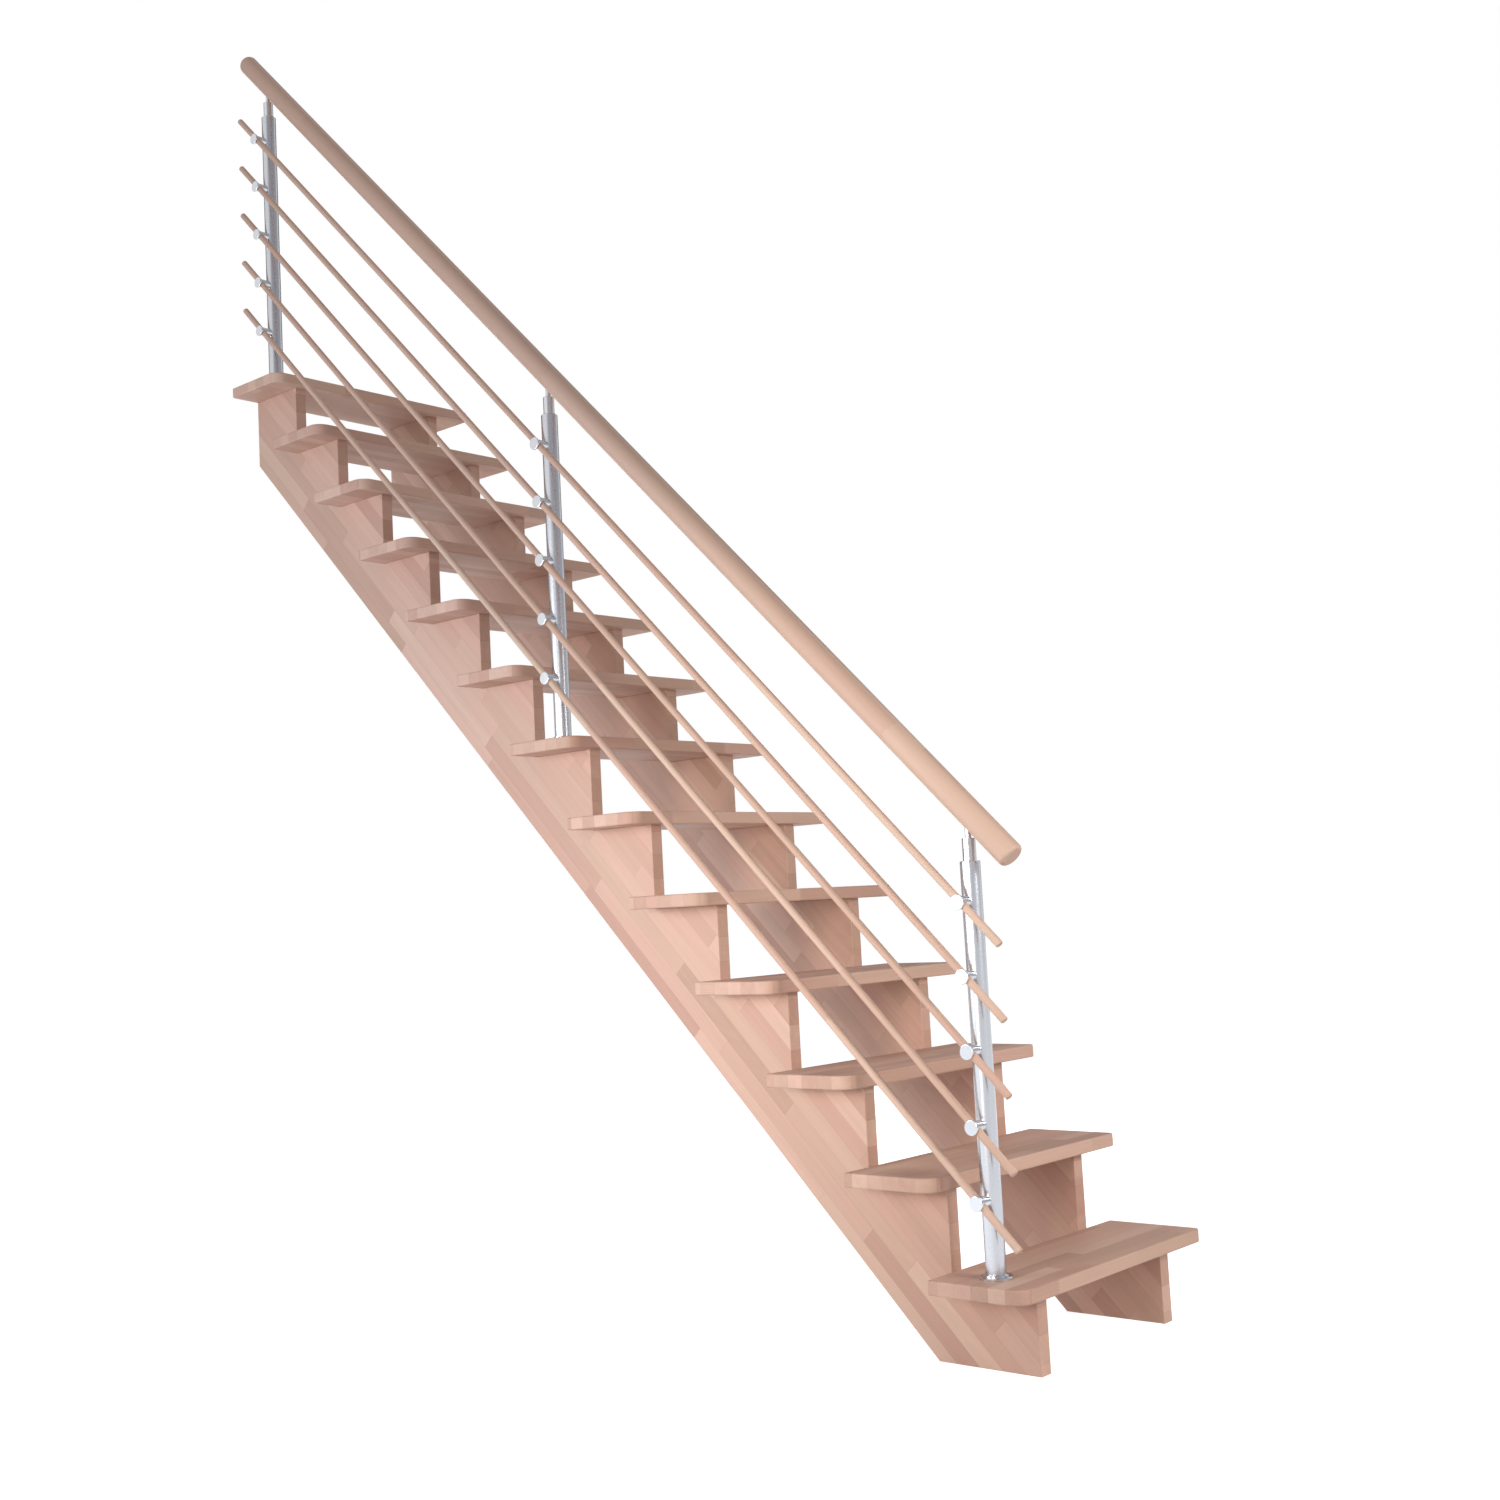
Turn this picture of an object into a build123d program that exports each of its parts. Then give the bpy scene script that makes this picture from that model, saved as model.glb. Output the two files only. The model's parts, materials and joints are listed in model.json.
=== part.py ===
from build123d import *
import math
import os

# A straight open-riser timber flight with two saw-tooth stringers, and a railing on the
# climber's left: round metal posts, timber rods in cross-bored holders, a round timber handrail.
# Millimetres. +X runs from the head down to the foot, +Y to the climber's right, +Z up.
# The origin is on the top tread's back edge, which meets the landing, midway between the stringers.

# Flight
tread_count = 13
rise = 215.0
going = 214.5
first_rise = 196.0
tread_length = 772.0
tread_depth = 242.0
tread_thickness = 32.0
tread_open_overhang = 91.5
tread_open_corner_radius = 40.0
tread_wall_corner_radius = 12.0
tread_edge_radius = 4.0

# Stringers
stringer_thickness = 38.0
stringer_spread = 567.0
stringer_waist = 150.0
stringer_edge_radius = 2.0

# Posts: a tube on a flange, with a stem that carries the handrail
post_end_inset = 85.0
post_diameter = 45.0
post_wall = 2.0
post_length = 883.0
plug_clearance = 0.2
plug_length = 25.0
flange_diameter = 74.0
flange_thickness = 7.0
flange_chamfer = 2.0
collar_width = 4.0
collar_height = 4.0
collar_chamfer = 1.5
cap_thickness = 4.0
cap_chamfer = 1.5
stem_diameter = 30.0
stem_length = 50.0
stem_chamfer = 1.0
stud_diameter = 14.0
stud_exposed = 20.0
stud_depth = 20.0
stud_clearance = 0.3

# Handrail
handrail_diameter = 60.0
handrail_overrun = 110.0
handrail_end_radius = 9.0

# Rods and the holders that carry them, the first one down from the top of the posts
rod_count = 5
rod_diameter = 18.0
rod_top_drop = 84.0
rod_spacing = 160.0
rod_offset = 46.0
rod_overrun = 94.0
rod_end_chamfer = 1.5
rod_clearance = 0.2
holder_diameter = 25.0
holder_seat_gap = 0.3
disc_diameter = 34.0
disc_thickness = 5.0
disc_gap = 1.0
disc_edge_radius = 1.5

# Worked out from the sizes above
pitch = math.atan2(rise, going)
flight_run = tread_count * going
floor_z = tread_thickness / 2 - (tread_count - 1) * rise - first_rise
tread_open_y = -stringer_spread / 2 - tread_open_overhang
post_y = tread_open_y + post_end_inset
post_steps = sorted({1, (1 + tread_count) // 2, tread_count})
post_names = ["lower", "middle", "upper"]

# Heights above a tread at the posts' axes
post_top_height = flange_thickness + post_length
stem_top_height = post_top_height + cap_thickness + stem_length
handrail_underside = stem_top_height + stud_exposed
stud_top_height = handrail_underside + stud_depth
handrail_half_height = handrail_diameter / 2 / math.cos(pitch)
handrail_height = handrail_underside + handrail_half_height
rod_heights = [post_top_height - rod_top_drop - row * rod_spacing for row in range(rod_count)]


def tread_back_x(step):
    return (tread_count - step) * going


def tread_top_z(step):
    return tread_thickness / 2 - (tread_count - step) * rise


def post_x(step):
    """The posts stand in the middle of a tread's depth."""
    return tread_back_x(step) + tread_depth / 2


def point_on_pitch(x, height):
    """Z of a line that follows the flight, at a height above the treads at the posts' axes."""
    return tread_top_z(tread_count) + height - (x - post_x(tread_count)) * math.tan(pitch)


def make_tread(step):
    """A board with rounded front corners, more so at the open end, eased all round but at its back."""
    board = Pos(
        tread_back_x(step) + tread_depth / 2,
        tread_open_y + tread_length / 2,
        tread_top_z(step) - tread_thickness / 2,
    ) * Box(tread_depth, tread_length, tread_thickness)
    open_corner = board.edges().filter_by(Axis.Z).group_by(Axis.X)[-1].sort_by(Axis.Y)[0]
    board = fillet(open_corner, tread_open_corner_radius)
    wall_corner = board.edges().filter_by(Axis.Z).group_by(Axis.X)[-1].sort_by(Axis.Y)[-1]
    board = fillet(wall_corner, tread_wall_corner_radius)
    top_edges = board.faces().sort_by(Axis.Z)[-1].edges()
    under_edges = board.faces().sort_by(Axis.Z)[0].edges()
    back_edges = board.faces().sort_by(Axis.X)[0].edges()
    eased = [edge for edge in top_edges + under_edges if edge not in back_edges]
    return fillet(eased, tread_edge_radius)


def stringer_outline():
    """The foot on the floor, a tooth under each tread, the head cut and the sloping lower edge."""
    lower_drop = stringer_waist / math.cos(pitch)
    head_seat_z = tread_top_z(tread_count) - tread_thickness
    head_lower_z = head_seat_z - lower_drop
    foot_back_x = (head_lower_z - floor_z) / math.tan(pitch)
    points = [(foot_back_x, floor_z), (flight_run, floor_z)]
    for step in range(1, tread_count + 1):
        seat_z = tread_top_z(step) - tread_thickness
        points += [(tread_back_x(step - 1), seat_z), (tread_back_x(step), seat_z)]
    points.append((0, head_lower_z))
    return points


def make_stringer(middle_y):
    outline = Plane.XZ * make_face(Polyline(*stringer_outline(), close=True))
    board = Pos(0, middle_y, 0) * extrude(outline, stringer_thickness / 2, both=True)
    sides = board.faces().sort_by(Axis.Y)
    return fillet(sides[0].edges() + sides[-1].edges(), stringer_edge_radius)


def upright_cylinder(radius, height):
    """A cylinder that stands on the XY plane."""
    return Cylinder(radius, height, align=(Align.CENTER, Align.CENTER, Align.MIN))


def revolve_about_z(points):
    """A turned piece from its half outline of (radius, height) points."""
    return revolve(Plane.XZ * make_face(Polyline(*points, close=True)), Axis.Z)


def make_flange():
    """A round foot with a collar round the tube and a plug inside it."""
    plug_radius = post_diameter / 2 - post_wall - plug_clearance
    collar_inside = post_diameter / 2 + plug_clearance
    collar_outside = collar_inside + collar_width
    collar_top = flange_thickness + collar_height
    return revolve_about_z(
        [
            (0, 0),
            (flange_diameter / 2, 0),
            (flange_diameter / 2, flange_thickness - flange_chamfer),
            (flange_diameter / 2 - flange_chamfer, flange_thickness),
            (collar_outside, flange_thickness),
            (collar_outside, collar_top - collar_chamfer),
            (collar_outside - collar_chamfer, collar_top),
            (collar_inside, collar_top),
            (collar_inside, flange_thickness),
            (plug_radius, flange_thickness),
            (plug_radius, flange_thickness + plug_length),
            (0, flange_thickness + plug_length),
        ]
    )


def make_post():
    """The tube stands on the flange, inside its collar."""
    tube = upright_cylinder(post_diameter / 2, post_length)
    tube -= upright_cylinder(post_diameter / 2 - post_wall, post_length)
    return Pos(0, 0, flange_thickness) * tube


def make_stem():
    """A plug in the tube, a cap on its end, the stem, and the stud that enters the handrail."""
    plug_radius = post_diameter / 2 - post_wall - plug_clearance
    cap_radius = post_diameter / 2
    cap_top = post_top_height + cap_thickness
    stem_radius = stem_diameter / 2
    stud_radius = stud_diameter / 2
    return revolve_about_z(
        [
            (0, post_top_height - plug_length),
            (plug_radius, post_top_height - plug_length),
            (plug_radius, post_top_height),
            (cap_radius, post_top_height),
            (cap_radius, cap_top - cap_chamfer),
            (cap_radius - cap_chamfer, cap_top),
            (stem_radius, cap_top),
            (stem_radius, stem_top_height - stem_chamfer),
            (stem_radius - stem_chamfer, stem_top_height),
            (stud_radius, stem_top_height),
            (stud_radius, stud_top_height),
            (0, stud_top_height),
        ]
    )


def make_holder():
    """A turned peg that stands out from the post, coped to it and cross-bored for the rod."""
    disc_inside = rod_offset + rod_diameter / 2 + disc_gap
    disc_outside = disc_inside + disc_thickness
    peg = upright_cylinder(holder_diameter / 2, disc_inside)
    disc = upright_cylinder(disc_diameter / 2, disc_thickness)
    disc = fillet(disc.edges().filter_by(GeomType.CIRCLE), disc_edge_radius)
    turned = peg + Pos(0, 0, disc_inside) * disc
    turned = Rot(90, 0, 0) * turned
    cope = Cylinder(post_diameter / 2 + holder_seat_gap, 2 * disc_outside)
    bore = Pos(0, -rod_offset, 0) * along_pitch(
        Cylinder(rod_diameter / 2 + rod_clearance, 4 * holder_diameter)
    )
    return turned - cope - bore


def along_pitch(upright):
    """Lays an upright piece along the flight, its top towards the head."""
    return Rot(0, math.degrees(pitch) - 90, 0) * upright


def make_rod(height):
    """A rod past all the posts, with lightly chamfered ends."""
    low_x = post_x(1) + rod_overrun
    high_x = post_x(tread_count) - rod_overrun
    length = (low_x - high_x) / math.cos(pitch)
    rod = Cylinder(rod_diameter / 2, length)
    rod = chamfer(rod.edges().filter_by(GeomType.CIRCLE), rod_end_chamfer)
    middle_x = (low_x + high_x) / 2
    return Pos(middle_x, post_y - rod_offset, point_on_pitch(middle_x, height)) * along_pitch(rod)


def make_handrail():
    """A round rail with softened ends, bored from below for the studs."""
    low_x = post_x(1) + handrail_overrun
    high_x = post_x(tread_count) - handrail_overrun
    length = (low_x - high_x) / math.cos(pitch)
    rail = Cylinder(handrail_diameter / 2, length)
    rail = fillet(rail.edges().filter_by(GeomType.CIRCLE), handrail_end_radius)
    middle_x = (low_x + high_x) / 2
    rail = Pos(middle_x, post_y, point_on_pitch(middle_x, handrail_height)) * along_pitch(rail)
    bore_length = stud_exposed + stud_depth + stud_clearance
    bore = upright_cylinder(stud_diameter / 2 + stud_clearance, bore_length)
    for step in post_steps:
        rail -= Pos(post_x(step), post_y, tread_top_z(step) + stem_top_height) * bore
    return rail


os.makedirs("parts", exist_ok=True)

for step in range(1, tread_count + 1):
    export_step(make_tread(step), f"parts/tread_{step:02d}.step")

stringer_y = (stringer_spread - stringer_thickness) / 2
export_step(make_stringer(-stringer_y), "parts/stringer_left.step")
export_step(make_stringer(stringer_y), "parts/stringer_right.step")

flange = make_flange()
post = make_post()
stem = make_stem()
holder = make_holder()
for name, step in zip(post_names, post_steps):
    place = Pos(post_x(step), post_y, tread_top_z(step))
    export_step(place * flange, f"parts/flange_{name}.step")
    export_step(place * post, f"parts/post_{name}.step")
    export_step(place * stem, f"parts/stem_{name}.step")
    for row, height in enumerate(rod_heights, start=1):
        export_step(place * Pos(0, 0, height) * holder, f"parts/holder_{name}_{row}.step")

for row, height in enumerate(rod_heights, start=1):
    export_step(make_rod(height), f"parts/rod_{row}.step")

export_step(make_handrail(), "parts/handrail.step")
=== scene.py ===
# %% [markdown]
# # A straight wooden staircase with a railing
#
# The flight has thirteen boards on two saw-tooth stringers, with nothing between one board and
# the next, and a railing on one side: metal posts, five round wooden rods and a round handrail.
# Every solid comes from the CAD model in its right shape and place, so the lesson here is about
# light and materials: beech glued up from staves, and satin steel.
#
# The CAD model is loaded first. It isn't moved or changed. All lengths are metres, the floor is
# level, +X runs from the head of the flight to its foot and +Z points up.

import json
import math

import bmesh
import bpy
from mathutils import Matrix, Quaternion, Vector


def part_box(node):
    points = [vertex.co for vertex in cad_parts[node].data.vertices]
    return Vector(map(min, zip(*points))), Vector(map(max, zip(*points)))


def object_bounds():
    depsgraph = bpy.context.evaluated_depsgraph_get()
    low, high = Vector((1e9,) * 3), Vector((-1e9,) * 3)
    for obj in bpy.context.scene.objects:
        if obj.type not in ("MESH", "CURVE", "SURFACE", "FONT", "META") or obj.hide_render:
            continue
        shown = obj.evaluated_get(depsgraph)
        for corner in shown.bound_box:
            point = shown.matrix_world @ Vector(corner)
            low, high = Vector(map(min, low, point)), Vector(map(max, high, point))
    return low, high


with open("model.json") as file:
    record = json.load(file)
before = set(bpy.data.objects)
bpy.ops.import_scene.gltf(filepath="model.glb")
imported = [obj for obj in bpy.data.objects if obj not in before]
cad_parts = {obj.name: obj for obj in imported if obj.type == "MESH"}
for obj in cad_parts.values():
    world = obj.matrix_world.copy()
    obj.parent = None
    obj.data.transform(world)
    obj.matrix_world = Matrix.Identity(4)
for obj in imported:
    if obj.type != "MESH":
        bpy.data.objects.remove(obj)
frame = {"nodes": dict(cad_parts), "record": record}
cad_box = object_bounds()
nodes = frame["nodes"]
print("loaded", len(nodes), "solids")

# %% [markdown]
# A few sizes are read from the solids, so that the patterns fit them: the rise from one board to
# the next, the going (how far the next one is set back), and the slope that these give. Grain
# follows that slope on the stringers, the rods and the handrail.

# %% Measure the flight
lowest_tread, highest_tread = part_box("tread_01"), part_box("tread_13")
steps_between = 12
rise = (highest_tread[1].z - lowest_tread[1].z) / steps_between
going = (lowest_tread[0].x - highest_tread[0].x) / steps_between
pitch = math.atan2(rise, going)
floor_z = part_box("stringer_left")[0].z
down_the_slope = Vector((math.cos(pitch), 0, -math.sin(pitch)))
square_to_slope = Vector((math.sin(pitch), 0, math.cos(pitch)))
print(f"rise {rise:.4f} going {going:.4f} pitch {math.degrees(pitch):.2f} floor {floor_z:.3f}")

# %% [markdown]
# The camera stands low on the open side of the foot and looks up the flight a little, as the
# photographer did. Its place and lens were found by matching the corners of the real boards. A
# camera looks along its own -Z, so `to_track_quat` turns -Z to the view and Y up, and a small
# roll about the view comes last.

# %% Place the camera
camera_place = Vector((4.8918, -3.4912, -1.7410))
azimuth, elevation, roll = 0.722, 0.088, -0.0535
view = Vector((
    -math.sin(azimuth) * math.cos(elevation),
    math.cos(azimuth) * math.cos(elevation),
    math.sin(elevation),
))
camera = bpy.data.objects.new("camera", bpy.data.cameras.new("camera"))
camera.data.sensor_width = 36.0
camera.data.lens = 42.227
camera.location = camera_place
camera.rotation_mode = "QUATERNION"
camera.rotation_quaternion = view.to_track_quat("-Z", "Y") @ Quaternion((0, 0, 1), roll)
bpy.context.scene.collection.objects.link(camera)
bpy.context.scene.camera = camera
bpy.context.scene.view_settings.view_transform = "Standard"
print("camera at", tuple(round(c, 3) for c in camera.location))

# %% [markdown]
# Materials are made of nodes, and three small helpers keep that readable. `put` adds a node and
# feeds its inputs with numbers or with other nodes' outputs. `calc` is the same for arithmetic
# and gives back the result, and `blend` mixes two colours.

# %% Helpers for node trees
def put(tree, kind, inputs=None, **settings):
    node = tree.nodes.new("ShaderNode" + kind)
    for name, value in settings.items():
        setattr(node, name, value)
    for key, value in (inputs or {}).items():
        if isinstance(value, bpy.types.NodeSocket):
            tree.links.new(value, node.inputs[key])
        else:
            node.inputs[key].default_value = value
    return node


def calc(tree, operation, *values, clamp=False):
    inputs = dict(enumerate(values))
    return put(tree, "Math", inputs, operation=operation, use_clamp=clamp).outputs[0]


def blend(tree, amount, first, second, mode="MIX"):
    inputs = {0: amount, 6: first, 7: second}
    return put(tree, "Mix", inputs, data_type="RGBA", blend_type=mode).outputs[2]


def colour(red, green, blue):
    """A colour as a picture editor shows it, 0 to 255, made linear for the nodes."""
    shown = [channel / 255 for channel in (red, green, blue)]
    linear = [c / 12.92 if c <= 0.04045 else ((c + 0.055) / 1.055) ** 2.4 for c in shown]
    return (*linear, 1.0)


def new_group(name, inputs, outputs):
    """A shader node group with named sockets, its input and its output node."""
    group = bpy.data.node_groups.new(name, "ShaderNodeTree")
    for in_out, sockets in (("INPUT", inputs), ("OUTPUT", outputs)):
        for label, kind in sockets.items():
            group.interface.new_socket(label, in_out=in_out, socket_type="NodeSocket" + kind)
    return group, group.nodes.new("NodeGroupInput"), group.nodes.new("NodeGroupOutput")


def use_group(tree, group, inputs):
    node = tree.nodes.new("ShaderNodeGroup")
    node.node_tree = group
    for label, value in inputs.items():
        if isinstance(value, bpy.types.NodeSocket):
            tree.links.new(value, node.inputs[label])
        else:
            node.inputs[label].default_value = value
    return node


def new_material(name):
    material = bpy.data.materials.new(name)
    material.use_nodes = True
    tree = material.node_tree
    return material, tree, tree.nodes["Principled BSDF"]


print("node helpers ready")

# %% [markdown]
# The boards are glued from staves, strips of beech about 43 mm wide. Each row across the board
# is made of shorter pieces joined end to end, and neighbouring pieces come from other trees, so
# they differ a little in tone. An image of such a board could be wrapped on, but it would
# stretch and repeat. A solid pattern is better, because it runs through the board as real wood
# does and meets itself at every edge.
#
# The group gets a board point: x along the grain, y across the staves, z through the board. It
# counts rows with a floor, shifts each row by a random amount, and counts the pieces along the
# row with a second floor. A white-noise texture turns those two whole numbers into the piece's
# own random values. Fingers cut into the ends show as a zigzag on the board's narrow edges and
# as a straight line on its face, and that follows from letting z move the joint to and fro.

# %% Node group: glued staves
staves, given, result = new_group(
    "glued staves",
    {
        "Board Point": "Vector",
        "Board Number": "Float",
        "Stave Width": "Float",
        "Stave Length": "Float",
    },
    {"Tone": "Float", "Warmth": "Float", "Joint": "Float", "Stave Point": "Vector"},
)
finger_pitch, finger_depth = 0.0062, 0.009
joint_width = 0.0009

along, across, through = put(
    staves, "SeparateXYZ", {0: given.outputs["Board Point"]}
).outputs
rows = calc(staves, "DIVIDE", across, given.outputs["Stave Width"])
row = calc(staves, "FLOOR", rows)
row_key = put(staves, "CombineXYZ", {0: row, 1: given.outputs["Board Number"]}).outputs[0]
row_random = put(staves, "TexWhiteNoise", {"Vector": row_key}, noise_dimensions="2D").outputs[1]
shift, stretch, _ = put(staves, "SeparateColor", {0: row_random}).outputs

zigzag = calc(staves, "PINGPONG", through, finger_pitch / 2)
zigzag = calc(staves, "MULTIPLY", zigzag, finger_depth / (finger_pitch / 2))
row_length = calc(staves, "MULTIPLY_ADD", stretch, 0.5, 0.75)
row_length = calc(staves, "MULTIPLY", row_length, given.outputs["Stave Length"])
pieces = calc(staves, "DIVIDE", calc(staves, "ADD", along, zigzag), row_length)
pieces = calc(staves, "MULTIPLY_ADD", shift, 7.0, pieces)
piece = calc(staves, "FLOOR", pieces)
piece_key = put(
    staves, "CombineXYZ", {0: piece, 1: row, 2: given.outputs["Board Number"]}
).outputs[0]
random = put(staves, "TexWhiteNoise", {"Vector": piece_key}, noise_dimensions="3D").outputs
tone, warmth, _ = put(staves, "SeparateColor", {0: random[1]}).outputs


def distance_to_whole(value, size):
    """How far the nearest joint is, in metres, for a count of rows or pieces."""
    part = calc(staves, "PINGPONG", value, 0.5)
    return calc(staves, "MULTIPLY", part, size)


to_side = distance_to_whole(rows, given.outputs["Stave Width"])
to_end = distance_to_whole(pieces, row_length)
nearest = calc(staves, "MINIMUM", to_side, to_end)
joint = calc(staves, "SUBTRACT", 1.0, calc(staves, "DIVIDE", nearest, joint_width), clamp=True)
own_place = put(staves, "VectorMath", {0: random[1], 1: (9.0, 0.35, 0.35)}, operation="MULTIPLY")
stave_point = put(
    staves,
    "VectorMath",
    {0: given.outputs["Board Point"], 1: own_place.outputs[0]},
    operation="ADD",
)
for label, value in {
    "Tone": tone,
    "Warmth": warmth,
    "Joint": joint,
    "Stave Point": stave_point.outputs[0],
}.items():
    staves.links.new(value, result.inputs[label])
print("group", staves.name, "with", len(staves.nodes), "nodes")

# %% [markdown]
# Inside one stave beech has three kinds of figure. Growth rings lie round the heart of the tree,
# so they are arcs on a sawn end and lines on a long face. Broad streaks of slightly darker wood
# run with the grain. Small brown flecks, one to three millimetres long, are the rays that make
# beech easy to tell from other woods. All three are noise textures that are stretched along the
# grain, and the rings are a noise read along the distance from the heart.

# %% Node group: beech grain
grain, given, result = new_group(
    "beech grain",
    {"Stave Point": "Vector"},
    {"Streaks": "Float", "Rings": "Float", "Flecks": "Float"},
)
ring_changes_per_metre = 420.0
stave_point = given.outputs["Stave Point"]


def stretched_noise(tree, point, stretch, detail, distortion=0.0):
    """Noise with its own number of features a metre along each axis."""
    squeezed = put(tree, "VectorMath", {0: point, 1: stretch}, operation="MULTIPLY").outputs[0]
    inputs = {"Vector": squeezed, "Scale": 1.0, "Detail": detail, "Distortion": distortion}
    return put(tree, "TexNoise", inputs).outputs[0]


streaks = stretched_noise(grain, stave_point, (2.2, 48.0, 48.0), 4.0, 0.6)
flecks = stretched_noise(grain, stave_point, (260.0, 1500.0, 1500.0), 1.0)
flecks = put(
    grain, "MapRange", {0: flecks, 1: 0.62, 2: 0.72}, interpolation_type="SMOOTHSTEP"
).outputs[0]
wander = put(
    grain, "VectorMath", {0: stave_point, 1: (1.3, 0.0, 0.0)}, operation="MULTIPLY"
).outputs[0]
wander = put(grain, "TexNoise", {"Vector": wander, "Scale": 1.0, "Detail": 1.0}).outputs[1]
wander = put(
    grain, "VectorMath", {0: wander, 1: (0.0, 0.06, 0.06)}, operation="MULTIPLY"
).outputs[0]
heart = put(grain, "VectorMath", {0: stave_point, 1: wander}, operation="ADD").outputs[0]
heart = put(grain, "VectorMath", {0: heart, 1: (0.0, 1.0, 1.0)}, operation="MULTIPLY").outputs[0]
radius = put(grain, "VectorMath", {0: heart}, operation="LENGTH").outputs["Value"]
rings = calc(grain, "MULTIPLY", radius, ring_changes_per_metre)
rings = put(
    grain, "TexNoise", {"W": rings, "Scale": 1.0, "Detail": 2.0}, noise_dimensions="1D"
).outputs[0]
for label, value in {"Streaks": streaks, "Rings": rings, "Flecks": flecks}.items():
    grain.links.new(value, result.inputs[label])
print("group", grain.name, "with", len(grain.nodes), "nodes")

# %% [markdown]
# One recipe makes all the beech here: staves, then grain, then a sanded surface without lacquer.
# Every board differs in which way its grain runs, so the recipe is a function that takes three
# directions and measures the point along each with a dot product. The random tone of a stave
# picks a place on a colour ramp from grey-brown to peach, its warmth tints it a little pink, and
# the streaks, rings, flecks and glue lines darken it by small amounts. Bare sanded wood is matt
# with a faint sheen, a little rougher in the flecks, so roughness varies about 0.55, and the
# same figure gives a shallow bump.

# %% Beech, as a function
streak_depth, ring_depth, fleck_depth, joint_depth = 0.22, 0.12, 0.10, 0.16


def beech(name, along, across, through, ramp, stave_width, stave_length, contrast, number_from):
    material, tree, shader = new_material(name)
    place = put(tree, "TexCoord").outputs["Object"]
    measured = [
        put(tree, "VectorMath", {0: place, 1: axis}, operation="DOT_PRODUCT").outputs["Value"]
        for axis in (along, across, through)
    ]
    board_point = put(tree, "CombineXYZ", dict(enumerate(measured))).outputs[0]
    axis, step = number_from
    number = put(tree, "VectorMath", {0: place, 1: axis}, operation="DOT_PRODUCT").outputs["Value"]
    number = calc(tree, "ROUND", calc(tree, "DIVIDE", number, step))
    laid = use_group(
        tree,
        staves,
        {
            "Board Point": board_point,
            "Board Number": number,
            "Stave Width": stave_width,
            "Stave Length": stave_length,
        },
    ).outputs
    figure = use_group(tree, grain, {"Stave Point": laid["Stave Point"]}).outputs

    colours = put(tree, "ValToRGB", {0: laid["Tone"]})
    stops = colours.color_ramp.elements
    while len(stops) < len(ramp):
        stops.new(1.0)
    for stop, (position, value) in zip(stops, ramp):
        stop.position = position
        stop.color = value
    wood = colours.outputs[0]
    pink = blend(tree, 1.0, wood, (1.02, 0.95, 0.98, 1.0), "MULTIPLY")
    wood = blend(tree, laid["Warmth"], wood, pink)

    def darkened_about_one(pattern, depth):
        depth = depth * contrast
        return calc(tree, "MULTIPLY_ADD", pattern, depth, 1.0 - depth / 2)

    shade = darkened_about_one(figure["Streaks"], streak_depth)
    rings = darkened_about_one(figure["Rings"], ring_depth)
    flecks = calc(tree, "MULTIPLY_ADD", figure["Flecks"], -fleck_depth * contrast, 1.0)
    joints = calc(tree, "MULTIPLY_ADD", laid["Joint"], -joint_depth, 1.0)
    for factor in (rings, flecks, joints):
        shade = calc(tree, "MULTIPLY", shade, factor)
    shade = put(tree, "CombineColor", {0: shade, 1: shade, 2: shade}).outputs[0]
    tree.links.new(blend(tree, 1.0, wood, shade, "MULTIPLY"), shader.inputs["Base Color"])

    rough = calc(tree, "MULTIPLY_ADD", figure["Streaks"], 0.12, 0.50)
    rough = calc(tree, "MULTIPLY_ADD", figure["Flecks"], 0.08, rough)
    tree.links.new(rough, shader.inputs["Roughness"])
    relief = calc(tree, "MULTIPLY_ADD", figure["Flecks"], -0.5, figure["Rings"])
    relief = calc(tree, "MULTIPLY_ADD", laid["Joint"], -1.0, relief)
    bump = put(tree, "Bump", {"Strength": 0.15 * contrast, "Distance": 0.0002, "Height": relief})
    tree.links.new(bump.outputs[0], shader.inputs["Normal"])
    shader.inputs["Specular IOR Level"].default_value = 0.35
    return material


print("beech recipe ready")

# %% [markdown]
# The boards to walk on have their staves side by side across the depth, with the grain along
# the step. The stringers' staves lie along the slope, four rows in the part below the teeth. The
# number that makes each board different comes from its height on the flight or, for the two
# stringers, from the side that it is on. The handrail and the rods are turned from long clear
# pieces, so their rows are as wide as the space from one rod to the next, and their tones vary
# less.

# %% Wood materials
board_tones = (
    (0.0, colour(191, 153, 133)),
    (0.35, colour(199, 162, 141)),
    (0.7, colour(206, 170, 149)),
    (1.0, colour(213, 178, 157)),
)
rail_tones = (
    (0.0, colour(202, 168, 146)),
    (0.5, colour(208, 175, 153)),
    (1.0, colour(215, 184, 162)),
)
tread_wood = beech(
    "tread wood",
    (0, 1, 0),
    (1, 0, 0),
    (0, 0, 1),
    board_tones,
    stave_width=0.0433,
    stave_length=0.42,
    contrast=1.0,
    number_from=((0, 0, 1), rise),
)
stringer_wood = beech(
    "stringer wood",
    down_the_slope,
    square_to_slope,
    (0, 1, 0),
    board_tones,
    stave_width=0.0425,
    stave_length=0.55,
    contrast=1.0,
    number_from=((0, 1, 0), 0.3),
)
rail_wood = beech(
    "rail wood",
    down_the_slope,
    square_to_slope,
    (0, 1, 0),
    rail_tones,
    stave_width=0.113,
    stave_length=1.3,
    contrast=0.45,
    number_from=((0, 1, 0), 0.04),
)
print("wood:", tread_wood.name, stringer_wood.name, rail_wood.name)

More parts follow.
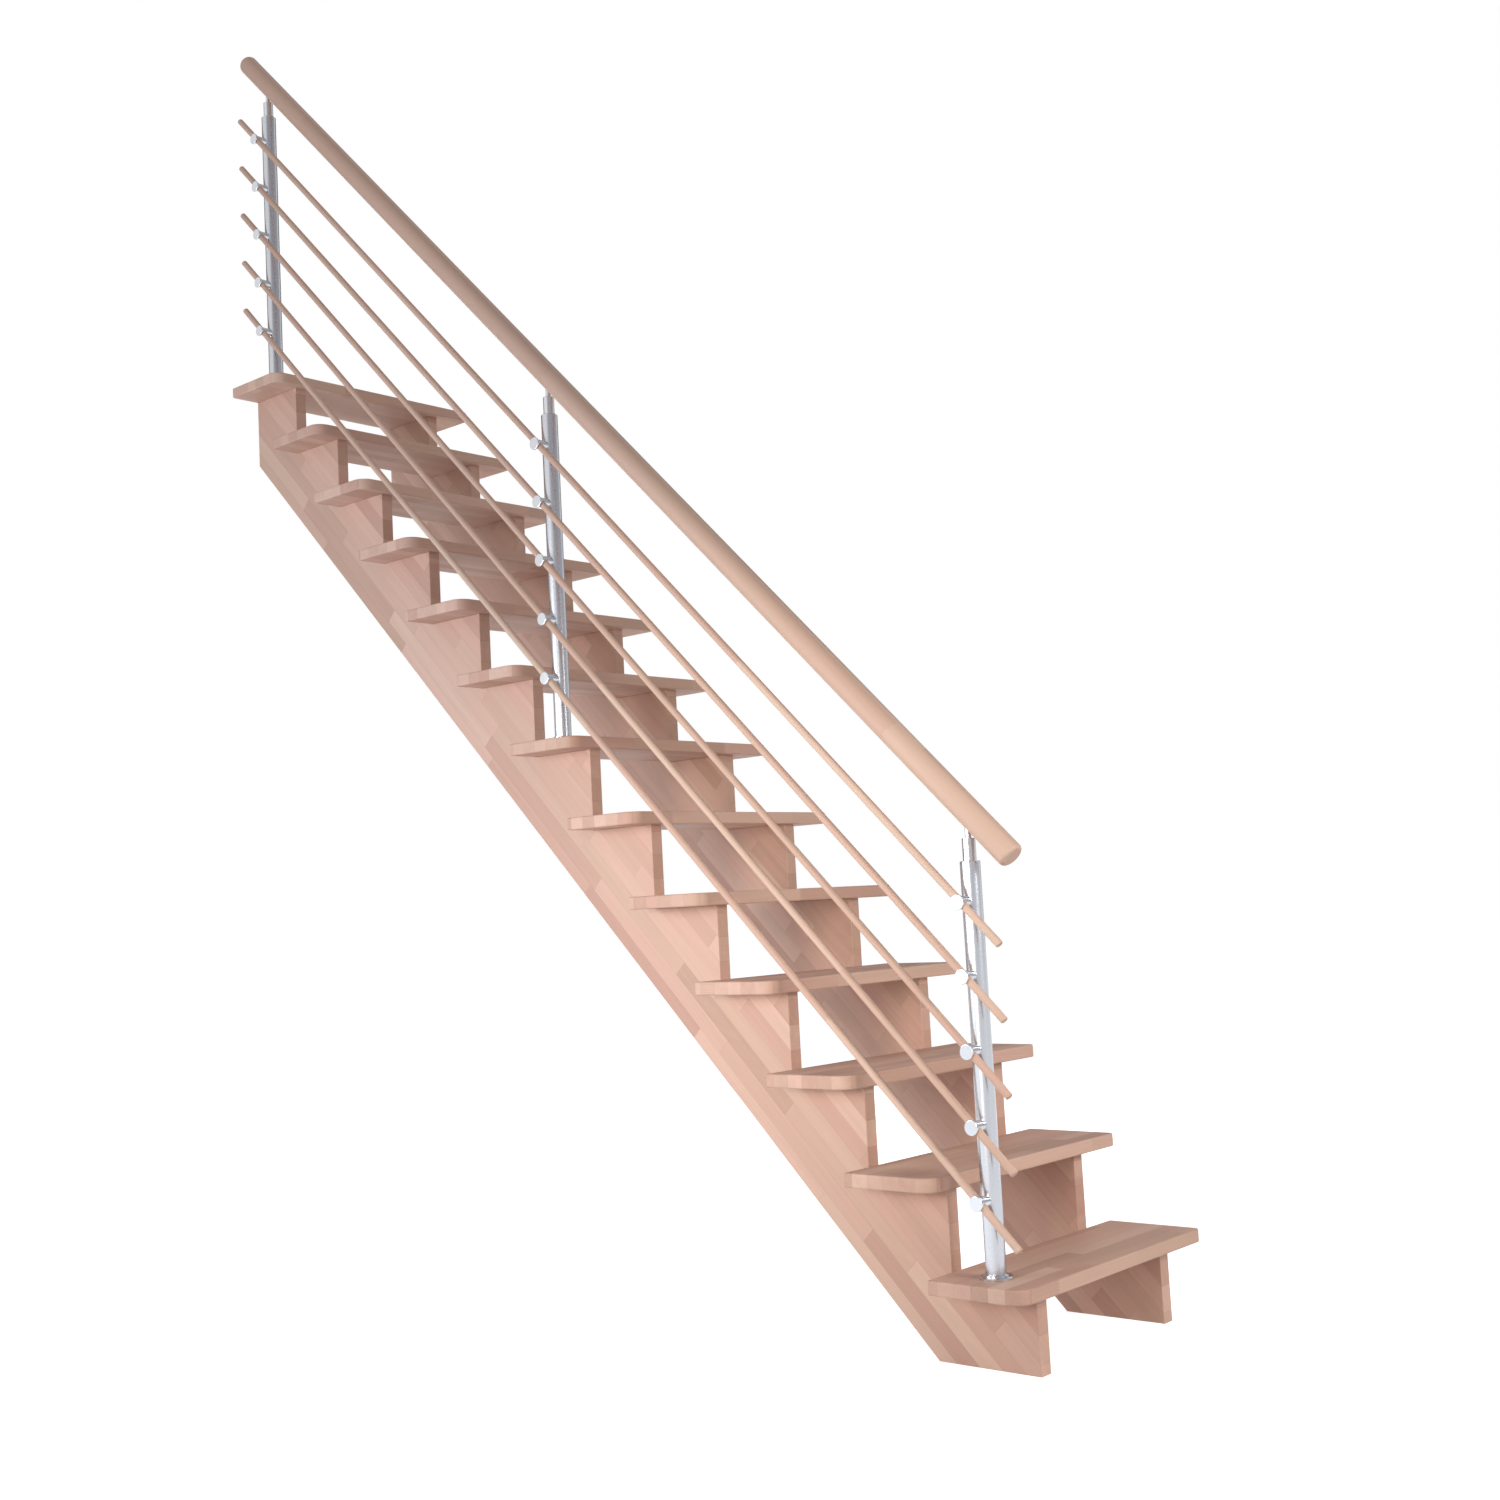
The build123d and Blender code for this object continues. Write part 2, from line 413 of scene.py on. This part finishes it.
# %% [markdown]
# The posts are steel tubes, ground to a satin finish while they turned, so the fine scratches
# run round them. The fittings are turned on a lathe and are a little brighter. Metal shows
# mostly what is around it, and its scratches blur that. The group gives a scratch pattern from
# a noise that changes quickly up the post and slowly round it, and a slow cloudy pattern for
# handling marks, and each material turns them into roughness and a tiny bump.

# %% Node group: ground metal
ground, given, result = new_group(
    "ground metal", {"Place": "Vector"}, {"Scratches": "Float", "Marks": "Float"}
)
scratches = stretched_noise(ground, given.outputs["Place"], (60.0, 60.0, 2600.0), 3.0)
marks = stretched_noise(ground, given.outputs["Place"], (14.0, 14.0, 9.0), 3.0)
ground.links.new(scratches, result.inputs["Scratches"])
ground.links.new(marks, result.inputs["Marks"])


def steel(name, tint, roughness, spread):
    material, tree, shader = new_material(name)
    place = put(tree, "TexCoord").outputs["Object"]
    finish = use_group(tree, ground, {"Place": place}).outputs
    rough = calc(tree, "MULTIPLY_ADD", finish["Scratches"], spread, roughness - spread / 2)
    rough = calc(tree, "MULTIPLY_ADD", finish["Marks"], 0.08, calc(tree, "SUBTRACT", rough, 0.04))
    tree.links.new(rough, shader.inputs["Roughness"])
    dull = blend(tree, 1.0, tint, (0.93, 0.93, 0.94, 1.0), "MULTIPLY")
    tree.links.new(blend(tree, finish["Marks"], tint, dull), shader.inputs["Base Color"])
    bump = put(tree, "Bump", {"Strength": 0.12, "Distance": 0.00005, "Height": finish["Scratches"]})
    tree.links.new(bump.outputs[0], shader.inputs["Normal"])
    shader.inputs["Metallic"].default_value = 1.0
    return material


post_metal = steel("post metal", colour(204, 205, 209), 0.27, 0.12)
fitting_metal = steel("fitting metal", colour(216, 217, 220), 0.20, 0.08)
print("metal:", post_metal.name, fitting_metal.name)

# %% [markdown]
# The record says which finish each solid has, so the materials are given out by that list. Only
# the object's material slot changes, and the CAD mesh stays as it is.

# %% Give the materials to the solids
finishes = {
    "tread_wood": tread_wood,
    "stringer_wood": stringer_wood,
    "rail_wood": rail_wood,
    "post_metal": post_metal,
    "fitting_metal": fitting_metal,
}
for entry in frame["record"]["subparts"]:
    solid = nodes[entry["node"]]
    solid.data.materials.clear()
    solid.data.materials.append(finishes[entry["material_slot"]])

# %% [markdown]
# The floor is a wide pale sheet at the stringers' feet. It should look white, like the paper
# behind a product, and still keep a soft shadow. More lamp light would bleach the wood, so the
# sheet gets its missing brightness from an emission that only the camera, mirrors and glass
# see, through the Light Path node.

# %% Floor
floor_radius, under_the_flight, floor_glow = 30.0, 1.4, 0.74
floor_mesh = bmesh.new()
bmesh.ops.create_circle(floor_mesh, cap_ends=True, segments=64, radius=floor_radius)
bmesh.ops.translate(floor_mesh, verts=floor_mesh.verts, vec=(under_the_flight, 0, floor_z))
floor = bpy.data.objects.new("floor", bpy.data.meshes.new("floor"))
floor_mesh.to_mesh(floor.data)
floor_mesh.free()
bpy.context.scene.collection.objects.link(floor)


def seen_directly(tree):
    """1 for rays from the camera, from a mirror or through glass, and 0 for light on the object."""
    rays = put(tree, "LightPath").outputs
    seen = calc(tree, "MAXIMUM", rays["Is Camera Ray"], rays["Is Glossy Ray"])
    return calc(tree, "MAXIMUM", seen, rays["Is Transmission Ray"])


floor_paint, tree, shader = new_material("floor paint")
shader.inputs["Base Color"].default_value = (0.82, 0.82, 0.82, 1.0)
shader.inputs["Roughness"].default_value = 0.9
shader.inputs["Specular IOR Level"].default_value = 0.0
shader.inputs["Emission Color"].default_value = (1.0, 1.0, 1.0, 1.0)
emission = calc(tree, "MULTIPLY", seen_directly(tree), floor_glow)
tree.links.new(emission, shader.inputs["Emission Strength"])
floor.data.materials.append(floor_paint)
print("floor at", round(floor_z, 3))

# %% [markdown]
# The light is that of a plain studio, and the world gives the even part of it: a warm glow from
# all round, stronger beyond the foot of the flight, and weaker and cooler overhead. Its strength
# for light on the object is under 1, because the lamps add to it, while the camera sees a full
# white. The weak overhead part leaves the tops of the boards darker than they are written.
#
# A polished tube needs something to reflect before it looks like metal. So for mirrors the world
# is a white room with grey walls: a ring of colours laid out by compass angle from the camera's
# side. A round post squeezes the whole ring into its width, which gives it a white streak to the
# left, a grey middle, a thin bright line to the right and dark edges. Near the floor the walls
# are lighter, as they are where a white floor shines on them.

# %% World
world = bpy.data.worlds.new("studio")
world.use_nodes = True
bpy.context.scene.world = world
tree = world.node_tree
tree.nodes.clear()
rays = put(tree, "LightPath").outputs
direction = put(tree, "TexCoord").outputs["Generated"]
east, north, up = put(tree, "SeparateXYZ", {0: direction}).outputs
overhead = put(tree, "MapRange", {0: up, 1: 0.0, 2: 0.9, 3: 0.53, 4: 0.27}).outputs[0]
open_side = put(tree, "MapRange", {0: north, 1: 0.8, 2: -0.8, 3: 1.06, 4: 1.0}).outputs[0]
foot_side = put(tree, "MapRange", {0: east, 1: 0.0, 2: 0.9, 3: 1.0, 4: 1.65}).outputs[0]
glow_strength = calc(tree, "MULTIPLY", overhead, calc(tree, "MULTIPLY", open_side, foot_side))
skyward = put(tree, "MapRange", {0: up, 1: 0.1, 2: 0.8}).outputs[0]
glow_tint = blend(tree, skyward, (1.05, 0.98, 0.90, 1.0), (0.84, 0.98, 1.14, 1.0))
glow = put(tree, "Background", {"Color": glow_tint, "Strength": glow_strength})

middle = sum(cad_box, Vector()) / 2
to_camera = math.atan2(camera_place.y - middle.y, camera_place.x - middle.x)
round_it = calc(tree, "SUBTRACT", calc(tree, "ARCTAN2", north, east), to_camera)
round_it = calc(tree, "WRAP", round_it, math.pi, -math.pi)
round_it = calc(tree, "MULTIPLY_ADD", round_it, 1 / math.tau, 0.5)
ring = put(tree, "ValToRGB", {0: round_it})
studio_white = (1, 1, 1, 1)
studio_grey = (0.39, 0.41, 0.46, 1)
studio_dark = (0.16, 0.16, 0.18, 1)
walls = (
    (-180, studio_dark), (-126, studio_dark), (-108, studio_white), (-38, studio_white),
    (-18, studio_grey), (104, studio_grey), (112, studio_white), (127, studio_white),
    (136, studio_dark), (180, studio_dark),
)
stops = ring.color_ramp.elements
while len(stops) < len(walls):
    stops.new(1.0)
for stop, (angle, value) in zip(stops, walls):
    stop.position = angle / 360 + 0.5
    stop.color = value
near_floor = put(tree, "MapRange", {0: up, 1: 0.3, 2: 0.0, 3: 0.0, 4: 0.38}).outputs[0]
lightened = blend(tree, near_floor, ring.outputs[0], studio_white)
mirrored = put(tree, "Background", {"Color": lightened, "Strength": 1.0})
white = put(tree, "Background", {"Color": (1.0, 1.0, 1.0, 1.0), "Strength": 1.0})
lit = put(tree, "MixShader", {0: rays["Is Glossy Ray"], 1: glow.outputs[0], 2: mirrored.outputs[0]})
clear = calc(tree, "MAXIMUM", rays["Is Camera Ray"], rays["Is Transmission Ray"])
both = put(tree, "MixShader", {0: clear, 1: lit.outputs[0], 2: white.outputs[0]})
put(tree, "OutputWorld", {"Surface": both.outputs[0]})
print("world with", len(tree.nodes), "nodes")

# %% [markdown]
# Four lamps stand round it. A wide cool one on the open side, like a north window, lights the
# whole flight. A warm spot with a soft edge beside it makes the pool of light on the lower
# half. Both are about level with the flight and face it almost squarely, so one stringer shades
# the other and the boards cast almost no shadow on the teeth under them. The third stands
# beyond the foot, a little higher, and brightens the tops and front edges of the lowest boards.
# The fourth is level with the flight on the wall side, so that the back shows the wood's own
# colour too. It is left out of reflections, which keep the room's dark edges. The camera
# doesn't see the lamps.

# %% Lamps
def hang_lamp(name, kind, target, bearing, distance, height):
    """A lamp seen from the target at a bearing from -Y towards +X, aimed at the target."""
    lamp = bpy.data.objects.new(name, bpy.data.lights.new(name, kind))
    offset = (math.sin(bearing) * distance, -math.cos(bearing) * distance, height)
    lamp.location = target + Vector(offset)
    lamp.rotation_mode = "QUATERNION"
    lamp.rotation_quaternion = (target - lamp.location).to_track_quat("-Z", "Y")
    lamp.visible_camera = False
    bpy.context.scene.collection.objects.link(lamp)
    return lamp.data


window = hang_lamp("window light", "AREA", Vector((0.7, -0.28, -1.3)), math.radians(-10), 2.8, 0.0)
window.shape = "RECTANGLE"
window.size, window.size_y = 1.8, 1.2
window.energy = 51.0
window.color = (0.84, 0.97, 1.14)

pool = hang_lamp("pool light", "SPOT", Vector((2.2, -0.28, -1.72)), math.radians(11), 3.5, 0.2)
pool.energy = 275.0
pool.color = (1.06, 0.98, 0.90)
pool.shadow_soft_size = 0.5
pool.spot_size = math.radians(46)
pool.spot_blend = 1.0

foot = hang_lamp("foot light", "SPOT", Vector((2.5, -0.1, -2.4)), math.radians(90), 2.4, 1.4)
foot.energy = 132.0
foot.color = (1.0, 0.98, 0.95)
foot.shadow_soft_size = 0.5
foot.spot_size = math.radians(66)
foot.spot_blend = 1.0

wall = hang_lamp("wall light", "AREA", Vector((1.3, 0.28, -1.3)), math.radians(-160), 4.5, 0.0)
wall.shape = "RECTANGLE"
wall.size, wall.size_y = 3.0, 2.0
wall.energy = 90.0
wall.color = (1.0, 0.98, 0.96)
bpy.data.objects["wall light"].visible_glossy = False
print("lamps", window.energy, "W,", pool.energy, "W,", foot.energy, "W and", wall.energy, "W")
